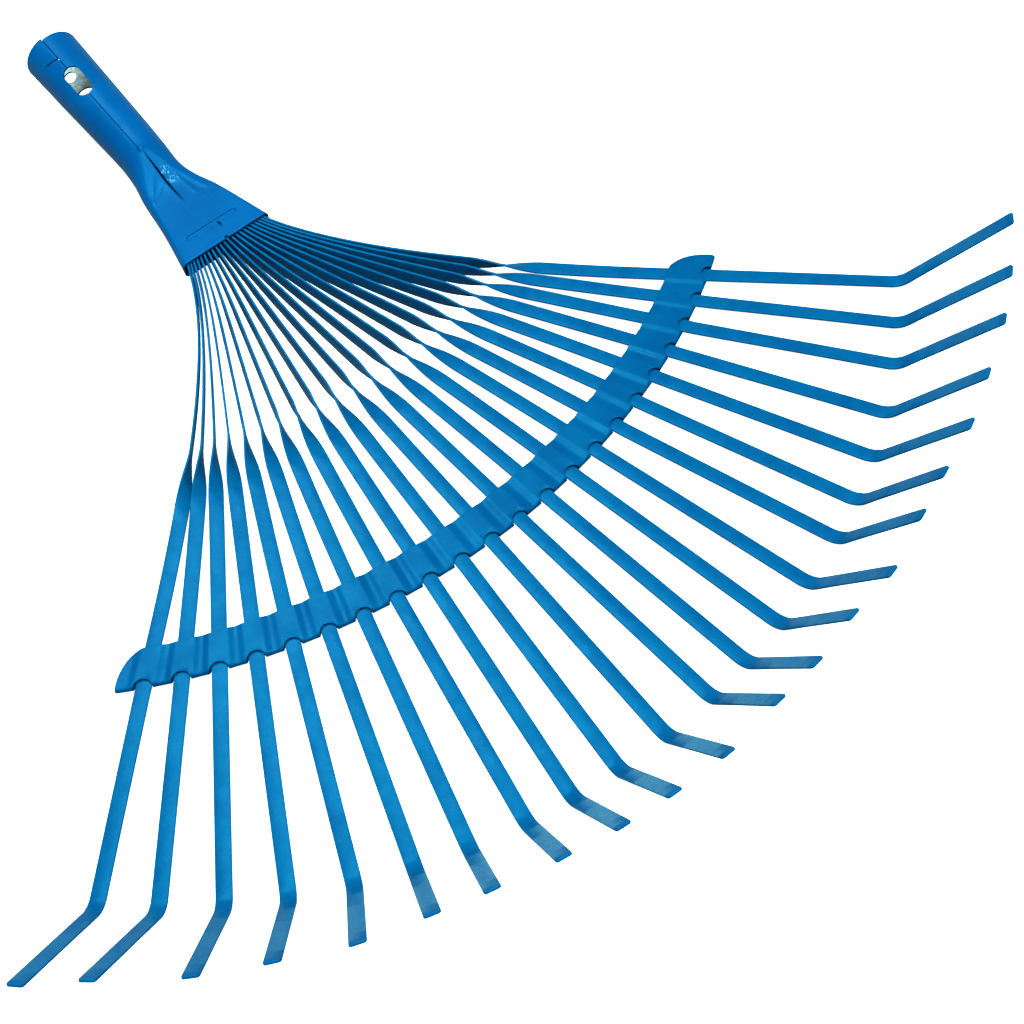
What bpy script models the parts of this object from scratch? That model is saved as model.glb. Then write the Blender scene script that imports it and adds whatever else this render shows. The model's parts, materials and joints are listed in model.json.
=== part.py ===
"""Head of a steel fan rake: a rolled pole socket flattened into a clamp, 22 spring tines, a folded spreader.

The rake lies on its back with the hooked tine ends up. It is drawn round a datum in the clamp's mouth,
on the tines' middle plane: +Y runs to the tine tips, +X across the fan and +Z to the hooks' side. The
datum is tilted a little, so that the tube's belly and the bends stand on the floor. Lengths are in
millimetres and become metres where a mesh is made.
"""

import math

import bmesh
import bpy
import numpy as np
from mathutils import Matrix, Vector

MM = 0.001
GAP = 0.3
CUT_PAST = 5.0
UP = np.array((0.0, 0.0, 1.0))
SHARP_ANGLE = math.radians(35)
ARC_STEPS = 10

# Tines: flat strips, on edge inside the clamp, twisted flat before the spreader, hooked at the tip.
TINE_COUNT = 22
STRIP_WIDTH = 6.1
STRIP_THICK = 1.0
ROOT_Y = -20.0
ROOT_HALF_SPREAD = 14.1
ROOT_SPLAY = math.radians(8.5)
ROOT_HANDLE = 34.0
SPREADER_HANDLE = 122.0
ROOT_STRAIGHT = 25.0
ROOT_LEAN = math.radians(8.0)
ROOT_LEAN_RUN = 40.0
TWIST_START = 85.0
TWIST_END = 54.0
TWIST_MARGIN = 4.0
CURVE_SAMPLES = 241
SWEEP_STATIONS = 8
TWIST_STATIONS = 11
APPROACH_STATIONS = 3
LEAN = math.radians(4.5)
LEAN_START = 20.0
LEAN_RUN = 60.0
BEND_RADIUS = 9.0
BEND_STEPS = 7
HOOK_TURN = math.radians(58.2)
HOOK_TURN_LOSS = math.radians(8.6)
HOOK_LENGTH = 47.5
HOOK_LENGTH_GAIN = 8.2
TIP_CORNER = 1.2
TIP_STEPS = 3

# Tines that use has bent, by number: how far each stands aside at its bend, in millimetres towards +X,
# and the degrees that its hook leans the same way and is turned further up.
BENT = {
    1: (0.5, 2.5, 0.0),
    2: (-1.0, 3.0, -2.0),
    3: (-2.5, 1.5, -2.0),
    6: (0.0, 1.0, 2.5),
    7: (-2.0, 0.0, 2.5),
    9: (0.0, 0.0, 2.0),
    11: (-1.0, -2.0, 0.0),
    12: (1.0, -1.0, -3.0),
    13: (2.0, -2.0, -2.5),
    14: (1.0, -3.0, -2.0),
    15: (-1.0, -1.0, -2.0),
    17: (-1.0, -2.0, 0.0),
    18: (-1.0, -1.0, -1.0),
    21: (0.0, 6.0, 3.0),
    22: (-1.5, 3.0, 1.0),
}

# Plan arcs that the tines cross, at the spreader's free edge and at the bends. A tine's angle on an arc,
# in degrees, is a first number times its share of the fan's half-width plus a second times the share's cube.
EDGE_ARC_RADIUS = 274.2
EDGE_ARC_CENTRE_Y = -97.4
EDGE_ARC_TURN = (29.69, -0.755)
BEND_ARC_RADIUS = 288.7
BEND_ARC_CENTRE_Y = 7.5
BEND_ARC_TURN = (42.65, 2.37)
FAN_START = 22.0

# Spreader: one sheet folded over the tines, pinched flat between them, with a punched notch at each.
SHEET = 0.9
FOLD_ARC_RADIUS = 290.6
FOLD_ARC_CENTRE = np.array((-1.2, EDGE_ARC_CENTRE_Y))
FOLD_STEPS = 3
PINCH_HALF = 1.0
BULGE_HALF = STRIP_THICK / 2 + GAP + SHEET
BULGE_FLAT = 3.2
BULGE_RUN = 3.0
PITCH_AT_EDGE = 13.2
COLUMN_OFFSETS = (0.0, 3.0, 3.8, 4.6, 5.4, 6.6, 7.8, 8.6, 9.4, 10.2)
END_REACH = 10.6
END_RUN = 16.5
END_STEPS = 9
NOTCH_RADIUS = 3.75
NOTCH_OUTSET = 0.4

# Socket: a tapered tube, pitched up towards its mouth, flattened into the clamp.
WALL = 1.0
MOUTH_Y = -137.0
MOUTH_TRIM = 1.0
MOUTH_RADIUS = 13.4
TAPER = 0.030
TUBE_END_Y = -62.0
TUBE_PITCH = math.radians(6.6)
AXIS_LEVEL_Y = -8.0
CLAMP_START_Y = -36.0
CLAMP_SQUARE_Y = -26.0
CLAMP_FRONT_Y = 2.5
CLAMP_HALF_HEIGHT = 4.4
CLAMP_CORNER = 2.6
FLARE_Y = -46.0
FLARE_HALF_WIDTH = 12.0
FLARE_SLOPE = 0.2227
FLARE_BLEND = 1.0
KNEE_ASIDE = 1.8
KNEE_Y = -43.0
KNEE_RUN = 14.0
RING_POINTS = 44
TUBE_STATIONS = 4
KNEE_STATIONS = 15
CLAMP_STATIONS = 4
CORNER_WEIGHT = 12.0
SEAM_AZIMUTH = math.radians(12.0)
SEAM_GAP = 0.35
SEAM_INTO_SLIT = 1.0
SLOT_WIDTH = 8.0
SLOT_ENDS = (-116.0, -98.3)
SLIT_ENDS = (-58.0, -26.0)
SLIT_WIDTH = 1.1
SLIT_X = 1.6
TICK_Y = -122.4
TICK_SIZE = (6.5, 0.8)
TICK_SLANT = 2.0
BACK_HOLE_Y = -131.0
BACK_HOLE_RADIUS = 3.0
BACK_SLOT_ENDS = (-121.3, -101.0)
BACK_SLOT_WIDTH = 9.0
BEAD_LENGTH = 25.4
BEAD_WIDTH = 2.2
BEAD_DEPTH = 0.6
BEAD_Y = -8.5

# Placing: the tube's belly and the bends touch the floor, and the origin is under the box's middle.
BELLY_Y = -60.0
DATUM_X = -1.08
DATUM_Y = -92.76
FAN_DROOP = 0.0218

BLUE = (0.0, 0.165, 0.50, 1.0)
DEEP_BLUE = (0.0, 0.140, 0.45, 1.0)
PAINT_ROUGHNESS = 0.35


def clear_scene():
    for obj in list(bpy.data.objects):
        bpy.data.objects.remove(obj, do_unlink=True)


def paint(name, colour):
    """Glossy stoved enamel on steel."""
    material = bpy.data.materials.new(name)
    material.use_nodes = True
    shader = material.node_tree.nodes["Principled BSDF"]
    shader.inputs["Base Color"].default_value = colour
    shader.inputs["Roughness"].default_value = PAINT_ROUGHNESS
    shader.inputs["Metallic"].default_value = 0.0
    return material


def mesh_object(name, points, faces, parent, material=None):
    """An object from points in millimetres, in the datum's frame, with its faces turned outwards."""
    mesh = bpy.data.meshes.new(name)
    mesh.from_pydata([Vector(point) * MM for point in points], [], faces)
    form = bmesh.new()
    form.from_mesh(mesh)
    bmesh.ops.recalc_face_normals(form, faces=form.faces)
    form.to_mesh(mesh)
    form.free()
    mesh.shade_smooth()
    mesh.set_sharp_from_angle(angle=SHARP_ANGLE)
    if material:
        mesh.materials.append(material)
    obj = bpy.data.objects.new(name, mesh)
    obj.parent = parent
    bpy.context.collection.objects.link(obj)
    return obj


def unit(vector):
    return vector / np.linalg.norm(vector)


def smooth(value):
    """A step from 0 to 1 with flat ends."""
    value = np.clip(value, 0.0, 1.0)
    return value * value * (3 - 2 * value)


def bell(value):
    return math.exp(-value * value)


def ring_faces(rings, count, closed_ends):
    """Quads between neighbouring rings of points, with a cap on each end of a closed form."""
    faces = [
        (a * count + i, a * count + (i + 1) % count, (a + 1) * count + (i + 1) % count, (a + 1) * count + i)
        for a in range(rings - 1)
        for i in range(count)
    ]
    if closed_ends:
        faces += [tuple(range(count)), tuple(range((rings - 1) * count, rings * count))]
    return faces


# Plan layout, shared by the tines and the spreader. Share is -1 at the first tine and 1 at the last.


def arc_point(radius, centre_y, turn, share):
    angle = math.radians(turn[0] * share + turn[1] * share**3)
    return np.array((radius * math.sin(angle), centre_y + radius * math.cos(angle)))


def edge_point(share):
    """Where a tine enters the spreader's free edge."""
    return arc_point(EDGE_ARC_RADIUS, EDGE_ARC_CENTRE_Y, EDGE_ARC_TURN, share)


def bend_point(share):
    """Where a tine turns up, as the corner of its two straight lines."""
    return arc_point(BEND_ARC_RADIUS, BEND_ARC_CENTRE_Y, BEND_ARC_TURN, share)


def raise_to_fan(plan):
    """Plan points placed on the fan, whose sides droop a little so that every bend meets the floor."""
    plan = np.atleast_2d(plan)
    distance = np.hypot(plan[:, 0], plan[:, 1])
    beyond = np.maximum(distance - FAN_START, 0.0)
    return np.column_stack((plan, -FAN_DROOP * beyond * (1 - plan[:, 1] / distance)))


def reach(start, direction):
    """How far a plan line runs from start to the spreader's fold."""
    offset = start - FOLD_ARC_CENTRE
    along = offset @ direction
    return -along + math.sqrt(along**2 - offset @ offset + FOLD_ARC_RADIUS**2)


def root_curve(share):
    """Close plan points from the clamp to the spreader, and their distances before the spreader."""
    root = np.array((ROOT_HALF_SPREAD * share, ROOT_Y))
    edge = edge_point(share)
    splay = ROOT_SPLAY * share
    first = root + ROOT_HANDLE * np.array((math.sin(splay), math.cos(splay)))
    second = edge - SPREADER_HANDLE * unit(bend_point(share) - edge)
    t = np.linspace(0, 1, CURVE_SAMPLES)[:, None]
    curve = (1 - t) ** 3 * root + 3 * (1 - t) ** 2 * t * first + 3 * (1 - t) * t**2 * second + t**3 * edge
    steps = np.linalg.norm(np.diff(curve, axis=0), axis=1)
    return curve, steps.sum() - np.concatenate(((0.0,), np.cumsum(steps)))


def station_distances(length):
    """Distances before the spreader of a tine's stations, closest together at the twist."""
    twist_from, twist_to = TWIST_START + TWIST_MARGIN, TWIST_END - TWIST_MARGIN
    sweep = np.linspace(length, twist_from, SWEEP_STATIONS, endpoint=False)
    twist = np.linspace(twist_from, twist_to, TWIST_STATIONS)
    approach = np.linspace(twist_to, 0.0, APPROACH_STATIONS, endpoint=False)[1:]
    return np.concatenate((sweep, twist, approach))


def strip_roll(before, length):
    """The strip's roll in radians, by distance before the spreader: on edge, leaning back, then flat."""
    along = np.clip((TWIST_START - before) / (TWIST_START - TWIST_END), 0.0, 1.0)
    twisted = (along + smooth(along)) / 2
    lean = ROOT_LEAN * smooth((length - ROOT_STRAIGHT - before) / ROOT_LEAN_RUN)
    return math.pi / 2 * twisted - lean * (1 - twisted)


def tine_path(share, aside):
    """Centre points, directions and strip roll of one tine's stations, from root to bend."""
    curve, before = root_curve(share)
    distances = station_distances(before[0])
    curved = np.column_stack([np.interp(-distances, -before, curve[:, axis]) for axis in (0, 1)])
    edge, bend = edge_point(share), bend_point(share)
    ahead = unit(bend - edge)
    run = np.linalg.norm(bend - edge)
    stop = run - BEND_RADIUS * math.tan(HOOK_TURN / 2)
    past = np.array((0.0, LEAN_START, LEAN_START + LEAN_RUN / 2, stop))
    drift = aside * np.maximum(past - LEAN_START, 0.0) / (run - LEAN_START)
    straight = edge + past[:, None] * ahead + drift[:, None] * np.array((ahead[1], -ahead[0]))
    points = raise_to_fan(np.vstack((curved, straight)))
    directions = np.gradient(points, axis=0)
    directions[-2:] = points[-1] - points[-2]
    before = np.concatenate((distances, -past))
    lean = LEAN * share * smooth((-before - LEAN_START) / LEAN_RUN)
    points[:, 2] += STRIP_WIDTH / 2 * np.sin(np.abs(lean))
    return points, directions, strip_roll(before, distances[0]) + lean


def tine_ribbon(share, aside, hook_aside, hook_up):
    """Edge pairs of the tine's middle surface: where the strip's two edges run."""
    points, directions, rolls = tine_path(share, aside)
    turn = HOOK_TURN - HOOK_TURN_LOSS * share**2 + math.radians(hook_up)
    edges = []
    for point, direction, roll in zip(points, directions, rolls):
        ahead = unit(direction)
        side = unit(np.cross(ahead, UP))
        across = math.cos(roll) * np.cross(side, ahead) + math.sin(roll) * side
        edges.append((point - across * STRIP_WIDTH / 2, point + across * STRIP_WIDTH / 2))
    rise = np.cross(across, ahead)
    chord = 2 * BEND_RADIUS * math.sin(turn / BEND_STEPS / 2)
    for step in range(BEND_STEPS):
        halfway, _ = hook_aim(ahead, across, rise, (step + 0.5) / BEND_STEPS, turn, hook_aside)
        hook, width = hook_aim(ahead, across, rise, (step + 1) / BEND_STEPS, turn, hook_aside)
        point = point + chord * halfway
        edges.append((point - width * STRIP_WIDTH / 2, point + width * STRIP_WIDTH / 2))
    length = HOOK_LENGTH + HOOK_LENGTH_GAIN * share**2 - BEND_RADIUS * math.tan(turn / 2)
    for angle in np.linspace(0, math.pi / 2, TIP_STEPS + 1):
        at = point + hook * (length - TIP_CORNER * (1 - math.sin(angle)))
        half = STRIP_WIDTH / 2 - TIP_CORNER * (1 - math.cos(angle))
        edges.append((at - width * half, at + width * half))
    return edges


def hook_aim(ahead, across, rise, share_of_bend, turn, hook_aside):
    """The strip's direction, and the direction of its width, part of the way round the bend."""
    up, out = turn * share_of_bend, math.radians(hook_aside) * share_of_bend
    forward = math.cos(up) * ahead + math.sin(up) * rise
    return math.cos(out) * forward + math.sin(out) * across, math.cos(out) * across - math.sin(out) * forward


def make_tine(number, parent, material):
    share = 2 * (number - 1) / (TINE_COUNT - 1) - 1
    bent = BENT.get(number, (0.0, 0.0, 0.0))
    points = [corner for pair in tine_ribbon(share, *bent) for corner in pair]
    faces = [(i, i + 1, i + 3, i + 2) for i in range(0, len(points) - 2, 2)]
    tine = mesh_object(f"tine_{number:02d}", points, faces, parent, material)
    strip = tine.modifiers.new("strip_thickness", "SOLIDIFY")
    strip.thickness = STRIP_THICK * MM
    strip.offset = 0.0
    strip.use_even_offset = True
    return tine


def cut(target, cutter):
    cutter.hide_render = True
    cutter.display_type = "WIRE"
    boolean = target.modifiers.new(cutter.name, "BOOLEAN")
    boolean.operation = "DIFFERENCE"
    boolean.solver = "EXACT"
    boolean.object = cutter


def prism(outline, low, high):
    """Points and faces of an upright prism on a closed plan outline."""
    bottom = [(x, y, low) for x, y in outline]
    top = [(x, y, high) for x, y in outline]
    return bottom + top, ring_faces(2, len(outline), True)


def circle(centre, radius):
    turns = (math.pi * i / ARC_STEPS for i in range(2 * ARC_STEPS))
    return [(centre[0] + radius * math.cos(turn), centre[1] + radius * math.sin(turn)) for turn in turns]


def joined(pieces):
    """Several (points, faces) forms as one."""
    points, faces = [], []
    for piece_points, piece_faces in pieces:
        faces += [tuple(index + len(points) for index in face) for face in piece_faces]
        points += list(piece_points)
    return points, faces


# Spreader.


def sheet_half_height(offset):
    """Half of the folded sheet's height, by distance from the nearest tine's middle."""
    return BULGE_HALF - (BULGE_HALF - PINCH_HALF) * float(smooth((offset - BULGE_FLAT) / BULGE_RUN))


def spreader_section(start, direction, offset):
    """One section along the tines: free edge, top, rounded fold and underside."""
    half = sheet_half_height(offset)
    round_start = reach(start, direction) - half
    turns = np.linspace(0, math.pi / 2, FOLD_STEPS)
    fold = [(round_start + half * math.sin(turn), half * math.cos(turn)) for turn in turns]
    stations = [(0.0, half)] + fold
    plan = [start + along * direction for along, _ in stations]
    points = raise_to_fan(plan)
    top = [point + UP * height for point, (_, height) in zip(points, stations)]
    under = [point - UP * height for point, (_, height) in zip(points, stations)]
    return top + under[-2::-1]


def spreader_columns():
    """(start, direction, distance from the nearest tine) of each section, from the first tine's end."""
    columns = []
    for gap in range(TINE_COUNT - 1):
        for offset in COLUMN_OFFSETS:
            share = 2 * (gap + offset / PITCH_AT_EDGE) / (TINE_COUNT - 1) - 1
            start = edge_point(share)
            columns.append((start, unit(bend_point(share) - start), min(offset, PITCH_AT_EDGE - offset)))
    last = edge_point(1.0)
    columns.append((last, unit(bend_point(1.0) - last), 0.0))
    left_fin, right_fin = ([spreader_end(step, side) for step in range(1, END_STEPS + 1)] for side in (-1, 1))
    return left_fin[::-1] + columns + right_fin


def spreader_end(step, side):
    """A column beyond the outermost tine, where the free edge sweeps forward in a quarter of an ellipse."""
    edge = edge_point(side)
    direction = unit(bend_point(side) - edge)
    outward = side * np.array((direction[1], -direction[0]))
    turn = math.pi / 2 * step / END_STEPS
    offset = END_REACH * math.sin(turn)
    return edge + outward * offset + direction * END_RUN * (1 - math.cos(turn)), direction, offset


def tine_channel(share):
    """The room that one tine's strip takes between the two layers of sheet."""
    edge = edge_point(share)
    direction = unit(bend_point(share) - edge)
    side = np.array((direction[1], -direction[0], 0.0))
    beyond = reach(edge, direction) + CUT_PAST
    ends = raise_to_fan([edge - CUT_PAST * direction, edge + beyond * direction])
    wide, high = STRIP_WIDTH / 2 + GAP, STRIP_THICK / 2 + GAP
    corners = ((-wide, -high), (wide, -high), (wide, high), (-wide, high))
    points = [end + side * across + UP * up for end in ends for across, up in corners]
    return points, ring_faces(2, len(corners), True)


def fold_notch(share):
    """The punched hole that the fold leaves as a half-round notch over a tine."""
    edge = edge_point(share)
    direction = unit(bend_point(share) - edge)
    centre = edge + (reach(edge, direction) + NOTCH_OUTSET) * direction
    height = raise_to_fan(centre)[0][2]
    return prism(circle(centre, NOTCH_RADIUS), height - CUT_PAST, height + CUT_PAST)


def make_spreader(parent, material):
    sections = [spreader_section(*column) for column in spreader_columns()]
    points = [point for section in sections for point in section]
    faces = ring_faces(len(sections), len(sections[0]), True)
    spreader = mesh_object("spreader", points, faces, parent, material)
    shares = [2 * i / (TINE_COUNT - 1) - 1 for i in range(TINE_COUNT)]
    cut(spreader, mesh_object("channel_cutter", *joined(map(tine_channel, shares)), parent))
    cut(spreader, mesh_object("notch_cutter", *joined(map(fold_notch, shares)), parent))
    return spreader


# Socket.


def axis_height(y):
    """The socket axis: pitched along the tube, level in the clamp, and a smooth bend between them."""
    if y <= TUBE_END_Y:
        return math.tan(TUBE_PITCH) * (middle((TUBE_END_Y, AXIS_LEVEL_Y)) - y)
    return math.tan(TUBE_PITCH) * max(AXIS_LEVEL_Y - y, 0.0) ** 2 / (2 * (AXIS_LEVEL_Y - TUBE_END_Y))


def axis_slope(y):
    bend_left = (AXIS_LEVEL_Y - y) / (AXIS_LEVEL_Y - TUBE_END_Y)
    return -math.tan(TUBE_PITCH) * min(max(bend_left, 0.0), 1.0)


def off_centre(y):
    """How far the sheet stands towards +X, because it was flattened a little off centre."""
    return KNEE_ASIDE * bell((y - KNEE_Y) / KNEE_RUN)


def socket_section(y):
    """Half-width, half-height and corner radius: a circle along the tube and a flat box in the clamp."""
    radius = MOUTH_RADIUS - TAPER * (min(y, TUBE_END_Y) - MOUTH_Y)
    flare = FLARE_HALF_WIDTH + FLARE_SLOPE * (y - FLARE_Y)
    flared = (radius + flare + math.hypot(radius - flare, FLARE_BLEND)) / 2
    wide = flared if y > TUBE_END_Y else radius
    flat = float(smooth((y - TUBE_END_Y) / (CLAMP_START_Y - TUBE_END_Y)))
    high = radius + (CLAMP_HALF_HEIGHT - radius) * flat
    square = float(smooth((y - FLARE_Y) / (CLAMP_SQUARE_Y - FLARE_Y)))
    corner = high + (CLAMP_CORNER - high) * square
    return wide, high, corner


def section_points(wide, high, corner):
    """Points round a rounded rectangle from the middle of its underside, closest together at the corners."""
    flat, wall, quarter = wide - corner, high - corner, math.pi / 2
    lengths = np.array((flat, 0, 2 * wall, 0, 2 * flat, 0, 2 * wall, 0, flat)) + corner * quarter * np.array(
        (0, 1, 0, 1, 0, 1, 0, 1, 0)
    )
    turns = quarter * np.array((0, 1, 0, 1, 0, 1, 0, 1, 0))
    knots = np.concatenate(((0.0,), np.cumsum(lengths + CORNER_WEIGHT * turns)))
    at = np.arange(RING_POINTS) / RING_POINTS * knots[-1]
    turn = np.interp(at, knots, np.concatenate(((0.0,), np.cumsum(turns))))
    across = np.interp(at, knots, flat * np.array((0, 1, 1, 1, 1, -1, -1, -1, -1, 0)))
    up = np.interp(at, knots, wall * np.array((-1, -1, -1, 1, 1, 1, 1, -1, -1, -1)))
    return np.column_stack((across + corner * np.sin(turn), up - corner * np.cos(turn)))


def socket_frame(y, azimuth=0.0):
    """Tangent, forward and outward directions on the socket, and its axis point, at azimuth from the top."""
    ahead = unit(np.array((0.0, 1.0, axis_slope(y))))
    upright = np.array((0.0, -ahead[2], ahead[1]))
    across = np.array((1.0, 0.0, 0.0))
    outward = math.sin(azimuth) * across + math.cos(azimuth) * upright
    tangent = math.cos(azimuth) * across - math.sin(azimuth) * upright
    return tangent, ahead, outward, np.array((off_centre(y), y, axis_height(y)))


def socket_ring(y):
    across, _, upright, centre = socket_frame(y)
    return [centre + x * across + z * upright for x, z in section_points(*socket_section(y))]


def tube_cutter(name, outline, low, high, parent, y, azimuth):
    """A prism that cuts the tube wall at station y, square to the wall at the given azimuth."""
    tangent, ahead, outward, centre = socket_frame(y, azimuth)
    points, faces = prism(outline, low, high)
    cutter = mesh_object(name, points, faces, parent)
    basis = Matrix((tangent, ahead, outward)).transposed().to_4x4()
    cutter.matrix_local = Matrix.Translation(Vector(centre) * MM) @ basis
    return cutter


def obround(length, width):
    """A slot outline along Y, round at both ends."""
    radius, half = width / 2, (length - width) / 2
    turns = [math.pi * i / ARC_STEPS for i in range(ARC_STEPS + 1)]
    far = [(radius * math.cos(turn), half + radius * math.sin(turn)) for turn in turns]
    return far + [(-x, -y) for x, y in far]


def lens(start, end, width):
    """A slit outline along Y, pointed at both ends."""
    stations = [i / ARC_STEPS for i in range(ARC_STEPS + 1)]
    right = [(width / 2 * math.sin(math.pi * t), start + (end - start) * t) for t in stations]
    return right + [(-x, y) for x, y in right[-2:0:-1]]


def rectangle(width, length):
    x, y = width / 2, length / 2
    return [(-x, -y), (x, -y), (x, y), (-x, y)]


def middle(ends):
    return (ends[0] + ends[1]) / 2


def cut_socket(socket, parent):
    """The flat rim, the seam of the rolled sheet, its slots, holes and slit, and the clamp's pressed bead."""
    inside, outside = MOUTH_RADIUS / 2, MOUTH_RADIUS + CUT_PAST
    beyond_mouth = [(x, y - CUT_PAST / 2) for x, y in rectangle(2 * outside, CUT_PAST)]
    seam_ends = (MOUTH_Y - CUT_PAST, SLIT_ENDS[0] + SEAM_INTO_SLIT)
    seam = rectangle(SEAM_GAP, seam_ends[1] - seam_ends[0])
    slot = obround(SLOT_ENDS[1] - SLOT_ENDS[0], SLOT_WIDTH)
    back_slot = obround(BACK_SLOT_ENDS[1] - BACK_SLOT_ENDS[0], BACK_SLOT_WIDTH)
    tick = [(x + TICK_SIZE[0] / 2, y - TICK_SLANT * (x > 0)) for x, y in rectangle(*TICK_SIZE)]
    back_hole = circle((0, 0), BACK_HOLE_RADIUS)
    cut(socket, tube_cutter("rim_cutter", beyond_mouth, -outside, outside, parent, MOUTH_Y, 0.0))
    cut(socket, tube_cutter("seam_cutter", seam, inside, outside, parent, middle(seam_ends), SEAM_AZIMUTH))
    cut(socket, tube_cutter("slot_cutter", slot, inside, outside, parent, middle(SLOT_ENDS), SEAM_AZIMUTH))
    cut(socket, tube_cutter("tick_cutter", tick, inside, outside, parent, TICK_Y, SEAM_AZIMUTH))
    for name, outline, y in (
        ("back_hole_cutter", back_hole, BACK_HOLE_Y),
        ("back_slot_cutter", back_slot, middle(BACK_SLOT_ENDS)),
    ):
        cut(socket, tube_cutter(name, outline, -outside, -inside, parent, y, SEAM_AZIMUTH))
    slit = [(x + SLIT_X, y) for x, y in lens(*SLIT_ENDS, SLIT_WIDTH)]
    cut(socket, mesh_object("slit_cutter", *prism(slit, 0.0, outside), parent))
    bead = [(y, x + BEAD_Y) for x, y in obround(BEAD_LENGTH, BEAD_WIDTH)]
    cut(socket, mesh_object("bead_cutter", *prism(bead, CLAMP_HALF_HEIGHT - BEAD_DEPTH, outside), parent))


def make_socket(parent, material):
    tube = np.linspace(MOUTH_Y - MOUTH_TRIM, TUBE_END_Y, TUBE_STATIONS)
    knee = np.linspace(TUBE_END_Y, CLAMP_SQUARE_Y, KNEE_STATIONS)[1:]
    clamp = np.linspace(CLAMP_SQUARE_Y, CLAMP_FRONT_Y, CLAMP_STATIONS)[1:]
    stations = np.concatenate((tube, knee, clamp))
    points = [point for y in stations for point in socket_ring(y)]
    socket = mesh_object("socket", points, ring_faces(len(stations), RING_POINTS, False), parent, material)
    sheet = socket.modifiers.new("sheet_thickness", "SOLIDIFY")
    sheet.thickness = WALL * MM
    sheet.offset = -1.0
    sheet.use_even_offset = True
    cut_socket(socket, parent)
    return socket


def resting_pose():
    """The datum's tilt and height when the belly of the tube and the bends stand on the floor."""
    belly = socket_section(BELLY_Y)[1] / socket_frame(BELLY_Y)[1][1] - axis_height(BELLY_Y)
    bend_start = bend_point(0.0)[1] - BEND_RADIUS * math.tan(HOOK_TURN / 2)
    tilt = (belly - STRIP_THICK / 2) / (bend_start - BELLY_Y)
    return tilt, belly + tilt * BELLY_Y


def main():
    clear_scene()
    datum = bpy.data.objects.new("clamp_datum", None)
    tilt, height = resting_pose()
    datum.location = (DATUM_X * MM, DATUM_Y * MM, height * MM)
    datum.rotation_euler = (-tilt, 0.0, 0.0)
    bpy.context.collection.objects.link(datum)
    make_socket(datum, paint("socket_paint", BLUE))
    make_spreader(datum, paint("spreader_paint", BLUE))
    tine_paint = paint("tine_paint", DEEP_BLUE)
    for number in range(1, TINE_COUNT + 1):
        make_tine(number, datum, tine_paint)


main()
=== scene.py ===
import json
import math
import random

import bmesh
import bpy
import numpy as np
from mathutils import Matrix, Vector


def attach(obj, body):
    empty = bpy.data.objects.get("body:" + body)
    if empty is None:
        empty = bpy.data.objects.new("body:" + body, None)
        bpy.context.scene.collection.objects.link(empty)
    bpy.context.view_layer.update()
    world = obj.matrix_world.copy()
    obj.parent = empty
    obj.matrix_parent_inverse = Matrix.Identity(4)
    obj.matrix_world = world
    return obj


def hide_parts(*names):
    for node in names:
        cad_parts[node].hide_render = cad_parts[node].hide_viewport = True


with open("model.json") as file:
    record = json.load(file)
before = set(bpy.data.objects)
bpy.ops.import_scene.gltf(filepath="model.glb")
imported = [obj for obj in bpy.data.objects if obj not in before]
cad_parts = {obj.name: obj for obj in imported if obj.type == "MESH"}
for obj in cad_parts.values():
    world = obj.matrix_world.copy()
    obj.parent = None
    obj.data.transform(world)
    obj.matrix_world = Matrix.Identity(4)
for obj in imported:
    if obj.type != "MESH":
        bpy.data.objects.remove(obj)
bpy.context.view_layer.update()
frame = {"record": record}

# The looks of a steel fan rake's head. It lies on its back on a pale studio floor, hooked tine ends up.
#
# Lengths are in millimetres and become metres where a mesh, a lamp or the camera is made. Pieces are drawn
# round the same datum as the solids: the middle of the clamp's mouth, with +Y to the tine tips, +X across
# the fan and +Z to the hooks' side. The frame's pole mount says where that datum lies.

MM = 0.001
UP = np.array((0.0, 0.0, 1.0))
GAP = 0.3
CUT_PAST = 5.0
ARC_STEPS = 24

# Tines: flat strips with rounded edges, on edge in the clamp, twisted flat before the spreader.
TINE_COUNT = 22
STRIP_WIDTH = 6.1
STRIP_THICK = 1.0
STRIP_EDGE_RADIUS = 0.26
EDGE_STEPS = 4
ROOT_Y = -20.0
ROOT_HALF_SPREAD = 14.1
ROOT_SPLAY = math.radians(8.5)
ROOT_HANDLE = 34.0
SPREADER_HANDLE = 122.0
CURVE_SAMPLES = 400
SWEEP_STEP = 2.5
ROOT_STRAIGHT = 25.0
ROOT_LEAN = math.radians(8.0)
ROOT_LEAN_RUN = 40.0
TWIST_START = 85.0
TWIST_END = 54.0
LEAN = math.radians(4.5)
LEAN_START = 20.0
LEAN_RUN = 60.0
BEND_RADIUS = 9.0
BEND_STEPS = 20
HOOK_TURN = math.radians(58.2)
HOOK_TURN_LOSS = math.radians(8.6)
HOOK_LENGTH = 47.5
HOOK_LENGTH_GAIN = 8.2
HOOK_STEPS = 40
TIP_CORNER = 1.2
TIP_EDGE = 0.3
TIP_STEPS = 8
HAND_BENT_TURN = 0.5
HAND_BENT_LENGTH = 0.4
# Painted reflection: a greyish sheen patch along each hook, where it sits, how it fades and how strong it is
# on each tine.
PAINTED_SHEEN_TIP = 5.0
PAINTED_SHEEN_LENGTH = 0.8
PAINTED_SHEEN_SLANT = 0.9
PAINTED_SHEEN_FADE = 0.8
PAINTED_SHEEN_LEAST = 0.15
PAINTED_SHEEN_MOST_AT = 0.25
PAINTED_SHEEN_SPREAD = 0.45

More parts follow.
